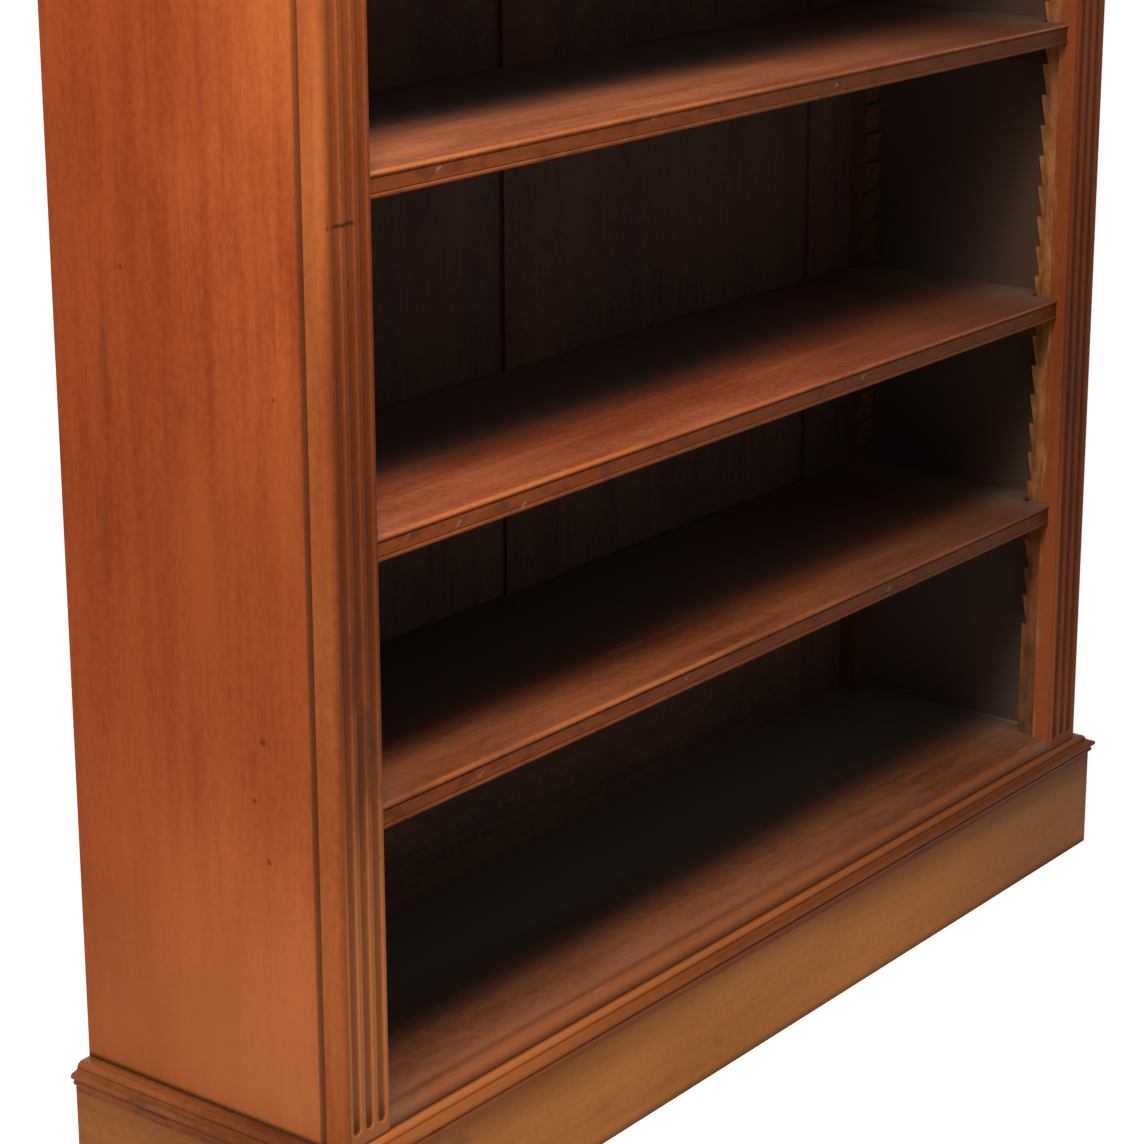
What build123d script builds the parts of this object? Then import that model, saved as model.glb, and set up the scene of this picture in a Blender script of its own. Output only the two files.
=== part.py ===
from build123d import *
import os

# Open bookcase with shelves that move up and down on sawtooth racks. All sizes are in millimetres.
# X runs to the right, Y to the back and Z up. The origin is on the floor, under the middle of the case.

# Case
opening_width = 1152.0
stile_width = 59.0
stile_thickness = 24.0
side_thickness = 25.0
case_depth = 313.0
housing_depth = 8.0
quirk_chamfer = 3.5
stile_corner_radius = 7.0
stile_inner_radius = 1.5

# Flutes, cut in the face of each stile and stopped at both ends
flute_count = 3
flute_depth = 3.0
flute_ridge = 5.0
flute_inner_margin = 1.5
flute_outer_margin = 9.5
flute_foot_gap = 12.0
flute_head_gap = 30.0

# Plinth
plinth_height = 106.0
plinth_thickness = 18.0
plinth_lap = 10.0
plinth_back_height = 100.0
kick_rail_height = 83.0
glue_block_height = 80.0
glue_block_lift = 20.0
glue_block_leg = 32.0

# Plinth moulding: from the top a ledge, a thumb, a fillet, a hollow, a half-round nose, a quirk and a bead
moulding_height = 28.0
moulding_depth = 24.0
moulding_thumb_width = 5.5
moulding_thumb_drop = 4.5
moulding_thumb_sag = 1.0
moulding_fillet = 1.5
moulding_hollow_sag = 0.6
moulding_nose_drop = 8.0
moulding_nose_radius = 3.2
moulding_quirk = 1.0
moulding_bead_radius = 3.0

# Bottom board
bottom_thickness = 22.0
bottom_rise = 12.0
bottom_recess = 2.5
nosing_top_radius = 9.0
nosing_foot_radius = 1.5
nosing_largest_share = 0.95

# Racks, with teeth that point into the case, and the bearers that hang in them
rack_width = 23.0
rack_recess = 6.0
rack_plain_foot = 133.0
tooth_pitch = 34.0
tooth_depth = 6.0
tooth_land = 3.0
notch_count = 33
rack_plain_head = 70.0
bearer_headroom = 9.0
bearer_end_gap = 0.5
bearer_wall_gap = 0.5

# Shelves, each set on the bearers in the notch that is counted from the foot of the rack
shelf_thickness = 22.0
shelf_recess = 14.0
shelf_end_gap = 1.0
shelf_notch_gap = 1.5
shelf_back_gap = 2.0
shelf_fascia_set = 1.0
shelf_quirk = 1.0
shelf_top_bead_radius = 2.4
shelf_foot_bead_radius = 2.0
shelf_notches = {"lower": 3, "middle": 10, "upper": 19, "top": 27}

# Back: a frame of stiles, rails and a muntin, grooved round two thin panels
back_thickness = 18.0
back_rebate = 12.0
back_stile_sight = 113.0
back_muntin_width = 98.0
back_top_rail_sight = 100.0
back_bottom_rail_sight = 100.0
groove_depth = 10.0
panel_thickness = 8.0
panel_play = 1.0

# Head of the case
sub_top_thickness = 22.0
top_rail_height = 60.0
top_rail_edge_radius = 4.0
top_thickness = 22.0
top_overhang = 28.0
top_step = 3.0
top_step_inset = 7.0
top_edge_radius = 8.0

# Cornice moulding, under the overhang of the top
cornice_height = 30.0
cornice_depth = 22.0
cornice_fillet = 4.0
cornice_quirk = 2.0
cornice_bead_radius = 3.0
cornice_hollow_sag = 4.5

# Places that follow from the sizes above
opening_half = opening_width / 2
outer_half = opening_half + stile_width
wall_half = outer_half - side_thickness
housed_half = wall_half + housing_depth
rebate_half = wall_half + back_rebate
front = (top_overhang - case_depth) / 2
back = front + case_depth
stile_back = front + stile_thickness
back_face = back - back_thickness
plinth_inner = front + plinth_lap
stile_foot = plinth_height + moulding_height
bottom_top = stile_foot + bottom_rise
bottom_under = bottom_top - bottom_thickness
rack_inner_half = opening_half + rack_recess
front_teeth = stile_back + rack_width
rear_teeth = back_face - rack_width
first_ledge = bottom_top + rack_plain_foot
rack_head = first_ledge + notch_count * tooth_pitch + rack_plain_head
case_height = rack_head + sub_top_thickness
full_height = case_height + top_thickness
top_rail_foot = case_height - top_rail_height
bearer_height = tooth_pitch - bearer_headroom
tooth_slope = tooth_depth / (tooth_pitch - tooth_land)


def block(x, y, z):
    """Plain board between a low and a high limit on each axis."""
    limits = (x, y, z)
    middle = [(low + high) / 2 for low, high in limits]
    lengths = [high - low for low, high in limits]
    return Pos(*middle) * Box(*lengths)


def along_x(outline, x):
    """Board with the given outline of Y and Z, between two limits on X."""
    low, high = x
    return extrude(Plane.YZ.offset(low) * make_face(outline), amount=high - low)


def right_hand(piece):
    """The same piece on the other side of the case."""
    return mirror(piece, about=Plane.YZ)


def run_round(section, inner_y, foot, depth):
    """Front and left lengths of one section, run round the case and mitred at the corners."""
    reach = outer_half + depth
    front_start = Plane(origin=(reach, inner_y, foot), x_dir=(0, -1, 0), z_dir=(-1, 0, 0))
    left_start = Plane(origin=(-outer_half, inner_y - depth, foot), x_dir=(-1, 0, 0), z_dir=(0, 1, 0))
    left_mitre = Plane(origin=(-outer_half, inner_y, foot), z_dir=(-1, 1, 0))
    right_mitre = Plane(origin=(outer_half, inner_y, foot), z_dir=(1, 1, 0))
    front_length = extrude(front_start * section, amount=2 * reach)
    front_length = split(front_length, bisect_by=left_mitre, keep=Keep.BOTTOM)
    front_length = split(front_length, bisect_by=right_mitre, keep=Keep.BOTTOM)
    left_length = extrude(left_start * section, amount=back - inner_y + depth)
    left_length = split(left_length, bisect_by=left_mitre, keep=Keep.TOP)
    return front_length, left_length


# Side boards and fluted stiles
def side_board():
    """Left side: housed for the bottom board and the sub-top, and rebated for the back."""
    board = block((-outer_half, -wall_half), (stile_back, back), (0, case_height))
    front_edges = board.edges().filter_by(Axis.Z).group_by(Axis.Y)[0]
    board = chamfer(front_edges.sort_by(Axis.X)[0], quirk_chamfer)
    housing = (-housed_half, -wall_half)
    board -= block(housing, (stile_back, back_face), (bottom_under, bottom_top))
    board -= block(housing, (stile_back, back_face), (rack_head, case_height))
    board -= block((-rebate_half, -wall_half), (back_face, back), (0, case_height))
    return board


def flute_cutter(x, low, high):
    """Round-ended rod that cuts one flute in the face of a stile."""
    pitch = (stile_width - flute_inner_margin - flute_outer_margin) / flute_count
    half_width = (pitch - flute_ridge) / 2
    radius = (half_width**2 + flute_depth**2) / (2 * flute_depth)
    axis_y = front + flute_depth - radius
    low_end = low + half_width
    high_end = high - half_width
    rod = Pos(x, axis_y, (low_end + high_end) / 2) * Cylinder(radius, high_end - low_end)
    ends = [Pos(x, axis_y, end) * Sphere(radius) for end in (low_end, high_end)]
    return rod + ends


def stile():
    """Left stile: its front laps the plinth, and its foot runs to the floor behind it."""
    face = Pos(-outer_half + stile_width / 2, front + stile_thickness / 2)
    section = face * Rectangle(stile_width, stile_thickness)
    outer_corners = section.vertices().group_by(Axis.X)[0].sort_by(Axis.Y)
    section = fillet(outer_corners[0], stile_corner_radius)
    outer_back = section.vertices().group_by(Axis.Y)[-1].sort_by(Axis.X)[0]
    section = chamfer(outer_back, quirk_chamfer)
    inner_front = section.vertices().group_by(Axis.X)[-1].sort_by(Axis.Y)[0]
    section = fillet(inner_front, stile_inner_radius)
    post = extrude(section, amount=case_height)
    post -= block((-outer_half, -opening_half), (front, plinth_inner), (0, stile_foot))
    pitch = (stile_width - flute_inner_margin - flute_outer_margin) / flute_count
    first_flute = -opening_half - flute_inner_margin - pitch / 2
    low = stile_foot + flute_foot_gap
    high = case_height - cornice_height - flute_head_gap
    for index in range(flute_count):
        post -= flute_cutter(first_flute - index * pitch, low, high)
    return post


# Plinth
def plinth_boards():
    """Front and left boards of the plinth, mitred together."""
    section = Pos(plinth_thickness / 2, plinth_height / 2) * Rectangle(plinth_thickness, plinth_height)
    return run_round(section, plinth_inner, 0, plinth_thickness)


def plinth_mouldings():
    """Front and left mouldings on top of the plinth boards."""
    thumb_foot = moulding_height - moulding_thumb_drop
    hollow_start = plinth_lap + moulding_thumb_width
    hollow_head = thumb_foot - moulding_fillet
    nose_start = moulding_depth - moulding_nose_radius
    nose_head = moulding_height - moulding_nose_drop
    nose_middle = nose_head - moulding_nose_radius
    nose_foot = nose_middle - moulding_nose_radius
    bead_head = nose_foot - moulding_quirk
    bead_middle = bead_head - moulding_bead_radius
    bead_foot = bead_middle - moulding_bead_radius
    bead_tip = plinth_thickness + moulding_bead_radius
    outline = Polyline(
        (plinth_lap, moulding_height),
        (0, moulding_height),
        (0, 0),
        (plinth_thickness, 0),
        (plinth_thickness, bead_foot),
    )
    outline += ThreePointArc(
        (plinth_thickness, bead_foot), (bead_tip, bead_middle), (plinth_thickness, bead_head)
    )
    outline += Polyline((plinth_thickness, bead_head), (plinth_thickness, nose_foot), (nose_start, nose_foot))
    outline += ThreePointArc(
        (nose_start, nose_foot), (moulding_depth, nose_middle), (nose_start, nose_head)
    )
    outline += SagittaArc((nose_start, nose_head), (hollow_start, hollow_head), moulding_hollow_sag)
    outline += Line((hollow_start, hollow_head), (hollow_start, thumb_foot))
    outline += SagittaArc((hollow_start, thumb_foot), (plinth_lap, moulding_height), -moulding_thumb_sag)
    return run_round(make_face(outline), plinth_inner, plinth_height, moulding_depth)


def plinth_back():
    """Rough board that closes the plinth at the back, in the rebates of the sides."""
    return block((-rebate_half, rebate_half), (back_face, back), (0, plinth_back_height))


def kick_rail():
    """Rail between the stile feet that carries the front of the bottom board."""
    rail_foot = bottom_under - kick_rail_height
    return block((-opening_half, opening_half), (plinth_inner, stile_back), (rail_foot, bottom_under))


def glue_blocks():
    """Corner blocks glued between the stile feet and the sides."""
    corner = Polyline(
        (-wall_half, stile_back),
        (-wall_half + glue_block_leg, stile_back),
        (-wall_half, stile_back + glue_block_leg),
        close=True,
    )
    left = Pos(0, 0, glue_block_lift) * extrude(make_face(corner), amount=glue_block_height)
    return Compound(children=[left, right_hand(left)])


# Bottom board
def bottom_board():
    """Bottom board, housed in the sides, with a round nosing that laps the plinth moulding."""
    nosing_front = front + bottom_recess
    largest_radius = nosing_largest_share * (bottom_rise - nosing_foot_radius)
    outline = Polyline(
        (stile_back, bottom_under),
        (plinth_inner, bottom_under),
        (plinth_inner, stile_foot),
        (nosing_front, stile_foot),
        (nosing_front, bottom_top),
        (stile_back, bottom_top),
        close=True,
    )
    tongue = along_x(outline, (-opening_half, opening_half))
    head_edge = tongue.edges().filter_by(Axis.X).group_by(Axis.Y)[0].sort_by(Axis.Z)[-1]
    tongue = fillet(head_edge, min(nosing_top_radius, largest_radius))
    foot_edge = tongue.edges().filter_by(Axis.X).group_by(Axis.Y)[0].sort_by(Axis.Z)[0]
    tongue = fillet(foot_edge, nosing_foot_radius)
    return tongue + block((-housed_half, housed_half), (stile_back, back_face), (bottom_under, bottom_top))


# Racks, bearers and shelves
def front_rack():
    """Left front rack: each notch has a level ledge and a face that slants out above it."""
    root = front_teeth - tooth_depth
    points = [(stile_back, rack_head), (stile_back, bottom_top), (front_teeth, bottom_top)]
    for index in range(notch_count):
        ledge = first_ledge + index * tooth_pitch
        slant_head = ledge + tooth_pitch - tooth_land
        points += [(front_teeth, ledge), (root, ledge), (front_teeth, slant_head)]
    points.append((front_teeth, rack_head))
    return along_x(Polyline(*points, close=True), (-wall_half, -rack_inner_half))


def to_rear(piece):
    """The same rack turned round for the back of the case."""
    return mirror(piece, about=Plane.XZ.offset(-(stile_back + back_face) / 2))


def ledge_height(name):
    """Height of the ledges that carry the bearers of one shelf."""
    return first_ledge + shelf_notches[name] * tooth_pitch


def bearer(name):
    """Left bearer of one shelf, with slanted ends that fill the notches of both racks."""
    foot = ledge_height(name)
    head = foot + bearer_height
    front_foot = front_teeth - tooth_depth + bearer_end_gap
    rear_foot = rear_teeth + tooth_depth - bearer_end_gap
    lean = bearer_height * tooth_slope
    outline = Polyline(
        (front_foot, foot),
        (rear_foot, foot),
        (rear_foot - lean, head),
        (front_foot + lean, head),
        close=True,
    )
    return along_x(outline, (-wall_half + bearer_wall_gap, -rack_inner_half))


def shelf(name):
    """Adjustable shelf: beaded at the front, and notched at its corners round the racks."""
    foot = ledge_height(name) + bearer_height
    head = foot + shelf_thickness
    edge = front + shelf_recess
    fascia = edge + shelf_fascia_set
    top_quirk = head - 2 * shelf_top_bead_radius
    foot_quirk = foot + 2 * shelf_foot_bead_radius
    top_root = edge + shelf_top_bead_radius
    foot_root = edge + shelf_foot_bead_radius
    notch_end = front_teeth + shelf_notch_gap
    outline = Polyline((top_root, head), (notch_end, head), (notch_end, foot), (foot_root, foot))
    outline += ThreePointArc(
        (foot_root, foot), (edge, foot + shelf_foot_bead_radius), (foot_root, foot_quirk)
    )
    outline += Polyline(
        (foot_root, foot_quirk),
        (foot_root, foot_quirk + shelf_quirk),
        (fascia, foot_quirk + shelf_quirk),
        (fascia, top_quirk - shelf_quirk),
        (top_root, top_quirk - shelf_quirk),
        (top_root, top_quirk),
    )
    outline += ThreePointArc((top_root, top_quirk), (edge, head - shelf_top_bead_radius), (top_root, head))
    between_stiles = opening_half - shelf_end_gap
    between_walls = wall_half - shelf_end_gap
    between_racks = rack_inner_half - shelf_notch_gap
    rear_notch = rear_teeth - shelf_notch_gap
    board = along_x(outline, (-between_stiles, between_stiles))
    board += block((-between_walls, between_walls), (notch_end, rear_notch), (foot, head))
    board += block((-between_racks, between_racks), (rear_notch, back_face - shelf_back_gap), (foot, head))
    return board


# Back
def back_pieces():
    """Grooved frame and two panels, in the rebates of the sides."""
    foot = plinth_back_height
    thickness = (back_face, back)
    tongue_low = back_face + (back_thickness - panel_thickness) / 2
    tongue = (tongue_low, tongue_low + panel_thickness)
    stile_sight = wall_half - back_stile_sight
    muntin_half = back_muntin_width / 2
    bottom_sight = bottom_top + back_bottom_rail_sight
    top_sight = rack_head - back_top_rail_sight
    rail_run = (-stile_sight, stile_sight)
    tongue_run = (-stile_sight - groove_depth, stile_sight + groove_depth)

    end_stile = block((-rebate_half, -stile_sight), thickness, (foot, case_height))
    end_stile -= block((-stile_sight - groove_depth, -stile_sight), tongue, (foot, case_height))

    bottom_rail = block(rail_run, thickness, (foot, bottom_sight))
    bottom_rail -= block(rail_run, tongue, (bottom_sight - groove_depth, bottom_sight))
    bottom_rail += block(tongue_run, tongue, (foot, bottom_sight - groove_depth))

    top_rail = block(rail_run, thickness, (top_sight, case_height))
    top_rail -= block(rail_run, tongue, (top_sight, top_sight + groove_depth))
    top_rail += block(tongue_run, tongue, (top_sight + groove_depth, case_height))

    muntin_face = (-muntin_half, muntin_half)
    muntin_core = (-muntin_half + groove_depth, muntin_half - groove_depth)
    muntin = block(muntin_face, (tongue[1], back), (bottom_sight, top_sight))
    muntin += block(muntin_face, (back_face, tongue[0]), (bottom_sight, top_sight))
    muntin += block(muntin_core, tongue, (bottom_sight - groove_depth, top_sight + groove_depth))

    panel = block(
        (-stile_sight - groove_depth + panel_play, -muntin_half + groove_depth - panel_play),
        tongue,
        (bottom_sight - groove_depth + panel_play, top_sight + groove_depth - panel_play),
    )
    return {
        "back_left_stile": end_stile,
        "back_right_stile": right_hand(end_stile),
        "back_bottom_rail": bottom_rail,
        "back_top_rail": top_rail,
        "back_muntin": muntin,
        "back_left_panel": panel,
        "back_right_panel": right_hand(panel),
    }


# Head of the case
def sub_top():
    """Board housed in the sides that the moulded top is fixed to from below."""
    return block((-housed_half, housed_half), (stile_back, back_face), (rack_head, case_height))


def top_rail():
    """Frieze between the heads of the stiles."""
    rail = block((-opening_half, opening_half), (front, stile_back), (top_rail_foot, case_height))
    front_edges = rail.edges().filter_by(Axis.X).group_by(Axis.Y)[0].sort_by(Axis.Z)
    return fillet(front_edges[0], top_rail_edge_radius)


def top_board():
    """Moulded top: a round edge at the front and sides, and a thin step above it."""
    reach = outer_half + top_overhang
    nose = front - top_overhang
    board = block((-reach, reach), (nose, back), (case_height, full_height - top_step))
    long_edges = board.edges().filter_by(Axis.X).group_by(Axis.Y)[0]
    end_edges = board.edges().filter_by(Axis.Y)
    board = fillet(long_edges + end_edges, top_edge_radius)
    inset = reach - top_step_inset
    step_foot = full_height - top_step
    return board + block((-inset, inset), (nose + top_step_inset, back), (step_foot, full_height))


def cornice_mouldings():
    """Front and left hollow mouldings under the overhang of the top."""
    bead_height = 2 * cornice_bead_radius
    hollow_foot = bead_height + cornice_quirk
    hollow_head = cornice_height - cornice_fillet
    hollow_end = cornice_depth - cornice_quirk
    outline = Polyline(
        (hollow_end, hollow_head),
        (cornice_depth, hollow_head),
        (cornice_depth, cornice_height),
        (0, cornice_height),
        (0, 0),
        (cornice_bead_radius, 0),
    )
    outline += ThreePointArc(
        (cornice_bead_radius, 0), (bead_height, cornice_bead_radius), (cornice_bead_radius, bead_height)
    )
    outline += Line((cornice_bead_radius, bead_height), (cornice_bead_radius, hollow_foot))
    outline += SagittaArc((cornice_bead_radius, hollow_foot), (hollow_end, hollow_head), cornice_hollow_sag)
    return run_round(make_face(outline), front, case_height - cornice_height, cornice_depth)


# All pieces by name
pieces = {}


def add_pair(name, left_piece):
    """Keep a left piece and its right-hand twin."""
    pieces[f"left_{name}"] = left_piece
    pieces[f"right_{name}"] = right_hand(left_piece)


def add_run(name, lengths):
    """Keep the front, left and right lengths of a mitred run."""
    front_length, left_length = lengths
    pieces[f"front_{name}"] = front_length
    add_pair(name, left_length)


add_pair("side", side_board())
add_pair("stile", stile())
add_run("plinth", plinth_boards())
add_run("plinth_moulding", plinth_mouldings())
pieces["plinth_back"] = plinth_back()
pieces["kick_rail"] = kick_rail()
pieces["glue_blocks"] = glue_blocks()
pieces["bottom_board"] = bottom_board()
left_front_rack = front_rack()
add_pair("front_rack", left_front_rack)
add_pair("rear_rack", to_rear(left_front_rack))
for shelf_name in shelf_notches:
    add_pair(f"{shelf_name}_bearer", bearer(shelf_name))
    pieces[f"{shelf_name}_shelf"] = shelf(shelf_name)
pieces.update(back_pieces())
pieces["sub_top"] = sub_top()
pieces["top_rail"] = top_rail()
add_run("cornice", cornice_mouldings())
pieces["top_board"] = top_board()

os.makedirs("parts", exist_ok=True)
for node, piece in pieces.items():
    export_step(piece, f"parts/{node}.step")

print(f"{len(pieces)} pieces, {2 * (outer_half + top_overhang):.0f} wide, {full_height:.0f} high")
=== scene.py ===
import math

import bpy
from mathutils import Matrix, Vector


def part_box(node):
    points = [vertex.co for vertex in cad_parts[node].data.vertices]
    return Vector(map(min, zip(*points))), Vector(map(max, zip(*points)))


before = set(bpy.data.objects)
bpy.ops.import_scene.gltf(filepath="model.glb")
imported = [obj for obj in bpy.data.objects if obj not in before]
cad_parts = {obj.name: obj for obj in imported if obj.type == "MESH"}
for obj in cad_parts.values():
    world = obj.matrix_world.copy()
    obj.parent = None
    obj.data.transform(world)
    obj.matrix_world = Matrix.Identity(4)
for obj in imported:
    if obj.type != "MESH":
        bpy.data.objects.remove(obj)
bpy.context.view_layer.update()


# Side boards
# Two wide boards of plain mahogany with upright grain, french polished and mellowed to orange.
# They are housed for the bottom board; their inside faces are painted dark as painted shade.
class Signal:
    """Output of one shader node. An operator on it adds a Math node."""

    def __init__(self, tree, socket):
        self.tree = tree
        self.socket = socket

    def node(self, kind, settings, sockets, output=0):
        """Another node of the tree: its settings first, then the values or links of its sockets."""
        made = self.tree.nodes.new(kind)
        for name, setting in settings.items():
            setattr(made, name, setting)
        for name, given in sockets.items():
            if isinstance(given, Signal):
                self.tree.links.new(given.socket, made.inputs[name])
            else:
                made.inputs[name].default_value = given
        return Signal(self.tree, made.outputs[output])

    def math(self, operation, *others):
        return self.node("ShaderNodeMath", {"operation": operation}, dict(enumerate((self, *others))))

    def __add__(self, other):
        return self.math("ADD", other)

    __radd__ = __add__

    def __mul__(self, other):
        return self.math("MULTIPLY", other)

    __rmul__ = __mul__

    def __sub__(self, other):
        return self.math("SUBTRACT", other)

    def __rsub__(self, other):
        return self.node("ShaderNodeMath", {"operation": "SUBTRACT"}, {0: other, 1: self})

    def rise(self, start, end):
        """Smooth step from 0 at start to 1 at end. Either may be the larger."""
        sockets = {"Value": self, "From Min": start, "From Max": end}
        return self.node("ShaderNodeMapRange", {"interpolation_type": "SMOOTHSTEP"}, sockets)

    def near(self, centre, reach):
        """One at the centre and nothing beyond the reach."""
        return (self - centre).math("ABSOLUTE").rise(reach, 0.0)

    def band(self, low, high, soft):
        """One between two limits, fading out over a soft margin beyond them."""
        return self.rise(low - soft, low) * self.rise(high + soft, high)

    def blend(self, first, second):
        """Colour between two others; this value is the share of the second."""
        settings = {"data_type": "RGBA", "clamp_factor": True}
        return self.node("ShaderNodeMix", settings, {0: self, 6: first, 7: second}, 2)


class Finish:
    """Material of like pieces, laid on in coats over their Object coordinates."""

    coat_roughness = 0.35
    specular_level = 0.03
    pore_depth = 0.00008
    pore_shade = 0.3
    mean_swing = 1.80

    def __init__(self, name, coat=0.0):
        self.material = bpy.data.materials.new(name)
        self.material.use_nodes = True
        self.tree = self.material.node_tree
        self.shader = self.tree.nodes["Principled BSDF"]
        self.shader.inputs["Coat Weight"].default_value = coat
        self.shader.inputs["Coat Roughness"].default_value = self.coat_roughness
        self.shader.inputs["Specular IOR Level"].default_value = self.specular_level
        coordinates = self.tree.nodes.new("ShaderNodeTexCoord")
        self.place = Signal(self.tree, coordinates.outputs["Object"])
        self.x, self.y, self.z = (self.axis(index) for index in range(3))
        self.reach = self.x.math("ABSOLUTE")

    def axis(self, index):
        """One of the three Object coordinates."""
        return self.place.node("ShaderNodeSeparateXYZ", {}, {"Vector": self.place}, index)

    def noise(self, scale, seed, detail=2.0):
        """Noise from 0 to 1, with the given cycles a metre along X, Y and Z."""
        sockets = {"Vector": self.place, "Location": [seed] * 3, "Scale": scale}
        spread = self.place.node("ShaderNodeMapping", {}, sockets)
        return spread.node("ShaderNodeTexNoise", {}, {"Vector": spread, "Scale": 1.0, "Detail": detail})

    def fibre(self, grain, seed, across, along, detail=2.0):
        """Noise drawn out along the grain, with the given cycles a metre across and along it."""
        scale = [across, across, across]
        scale["XYZ".index(grain)] = along
        return self.noise(scale, seed, detail)

    def mahogany(self, grain, seed, dark, light, figure=1.0, pores=0.25):
        """Broad figure, ribbon stripe, fine threads, mottle and open pores between two tones."""
        cloud = self.fibre(grain, seed + 9.9, across=9.0, along=4.0, detail=3.0)
        ribbon = self.fibre(grain, seed, across=38.0, along=2.6)
        streak = self.fibre(grain, seed + 3.1, across=120.0, along=5.0, detail=3.0)
        thread = self.fibre(grain, seed + 7.7, across=640.0, along=24.0)
        pore = self.fibre(grain, seed + 5.3, across=1300.0, along=90.0, detail=1.0).rise(0.58, 0.76)
        mottle = self.fibre(grain, seed + 1.7, across=170.0, along=110.0, detail=4.0)
        swing = 1.3 * cloud + 0.8 * ribbon + 0.4 * streak + 0.4 * thread + 0.7 * mottle - self.mean_swing
        tone = (figure * swing + 0.5).rise(0.0, 1.0)
        pore_tone = [self.pore_shade * channel for channel in dark[:3]] + [1.0]
        self.colour = (pores * pore).blend(tone.blend(dark, light), pore_tone)
        self.roughness = 0.36 + 0.14 * thread + 0.14 * pore
        self.height = 0.3 * thread - pores * pore

    def stain(self, mask, colour, share=1.0, dull=0.0):
        """Share of another colour where the mask is 1, duller than the polish by the given roughness."""
        cover = share * mask
        self.colour = cover.blend(self.colour, colour)
        self.roughness = self.roughness + dull * cover

    def dent(self, mask, depth=3.0):
        """Hollow where the mask is 1, as many times the depth of a pore."""
        self.height = self.height - depth * mask

    def spot(self, first, second, size):
        """Round mark; first and second pair a coordinate with the place of the centre on it."""
        offsets = [coordinate - centre for coordinate, centre in (first, second)]
        away = offsets[0] * offsets[0] + offsets[1] * offsets[1]
        return away.rise(size * size, 0.0)

    def lay_on(self, *nodes):
        """Link the coats to the shader and give the finish to CAD nodes."""
        sockets = {"Strength": 1.0, "Distance": self.pore_depth, "Height": self.height}
        bump = self.place.node("ShaderNodeBump", {}, sockets)
        coats = {"Base Color": self.colour, "Roughness": self.roughness, "Normal": bump}
        for socket, coat in coats.items():
            self.tree.links.new(coat.socket, self.shader.inputs[socket])
        for node in nodes:
            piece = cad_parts[node]
            piece.data.materials.clear()
            piece.data.materials.append(self.material)


def rgb(red, green, blue):
    return (red, green, blue, 1.0)


side_low, side_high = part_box("left_side")
stile_low, stile_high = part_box("left_stile")
moulding_low, moulding_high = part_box("front_plinth_moulding")
wall = -side_high.x
outside = -side_low.x
stile_back = stile_high.y
foot = moulding_high.z
quirk_width = 0.0040
quirk_back = stile_back + quirk_width
# Dark colour for dirt and scratches, and for painted shade in quirks, flutes, hollows and joints
grime_and_shade = rgb(0.050, 0.022, 0.010)

side_dark = rgb(0.255, 0.041, 0.009)
side_light = rgb(0.485, 0.110, 0.025)
side_polish = Finish("side_polish", coat=0.03)
side_polish.mahogany("Z", 0.0, side_dark, side_light, figure=0.9, pores=0.08)
side_x, side_y, side_z = side_polish.x, side_polish.y, side_polish.z

# Painted shade: the outside face is darker toward the back
side_rear_shade_tone = rgb(0.228, 0.031, 0.008)
shade_toward_back = side_y.rise(stile_back, side_high.y)
side_polish.stain(shade_toward_back, side_rear_shade_tone, share=0.45)

# Painted light: the outside face is lighter toward the front at the foot
pale_foot_head = 0.56
pale_foot_depths = (0.24, -0.04)
pale_foot_tone = rgb(0.580, 0.182, 0.054)
pale_foot = side_z.rise(pale_foot_head, foot) * side_y.rise(*pale_foot_depths)
side_polish.stain(pale_foot, pale_foot_tone, share=0.62)

rear_foot_head = 0.32
rear_foot_depths = (0.04, 0.15)
rear_foot_tone = rgb(0.500, 0.150, 0.045)
rear_foot = side_z.rise(rear_foot_head, foot) * side_y.rise(*rear_foot_depths)
side_polish.stain(rear_foot, rear_foot_tone, share=0.40)

# The outside face is darker in a belt across the middle, toward the front
belt_height = 0.62
belt_reach = 0.28
belt_depths = (0.16, -0.02)
belt_tone = rgb(0.250, 0.050, 0.012)
dark_belt = side_z.near(belt_height, belt_reach) * side_y.rise(*belt_depths)
side_polish.stain(dark_belt, belt_tone, share=0.45)

# Painted light: the outside face is lighter toward the front at the head
pale_head_heights = (0.86, 1.32)
pale_head_start = 0.06
pale_head_tone = rgb(0.620, 0.175, 0.042)
pale_head = side_z.rise(*pale_head_heights) * side_y.rise(pale_head_start, stile_back)
side_polish.stain(pale_head, pale_head_tone, share=0.40)

# The colour of a face ends this far under it
skin = 0.0005
# Painted shade: the inside faces are painted dark, darker toward the back and lighter toward the foot
inside_shade_tone = rgb(0.105, 0.058, 0.037)
inside_rear_depths = (-0.07, 0.05)
inside_rear_shade_tone = rgb(0.082, 0.058, 0.047)
inside_foot_heights = (0.50, 0.25)
inside_foot_tone = rgb(0.200, 0.130, 0.110)
inside = side_polish.reach.rise(wall + 3 * skin, wall + skin)
side_polish.stain(inside, inside_shade_tone, dull=0.2)
side_polish.stain(inside * side_y.rise(*inside_rear_depths), inside_rear_shade_tone, share=0.7)
side_polish.stain(inside * side_z.rise(*inside_foot_heights), inside_foot_tone, share=0.4)

# Dark line in the V quirk, dirt and painted shade; painted shadow along the foot, where the side meets
# the moulding
quirk_grime_and_shade_depths = (quirk_back + 0.001, quirk_back - 0.002)
foot_shadow_heights = (foot + 0.007, foot + 0.0015)
quirk_grime_and_shade = side_y.rise(*quirk_grime_and_shade_depths)
side_polish.stain(quirk_grime_and_shade, grime_and_shade, share=0.65, dull=0.2)
foot_shadow = side_z.rise(*foot_shadow_heights)
side_polish.stain(foot_shadow, grime_and_shade, share=0.85, dull=0.2)

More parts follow.
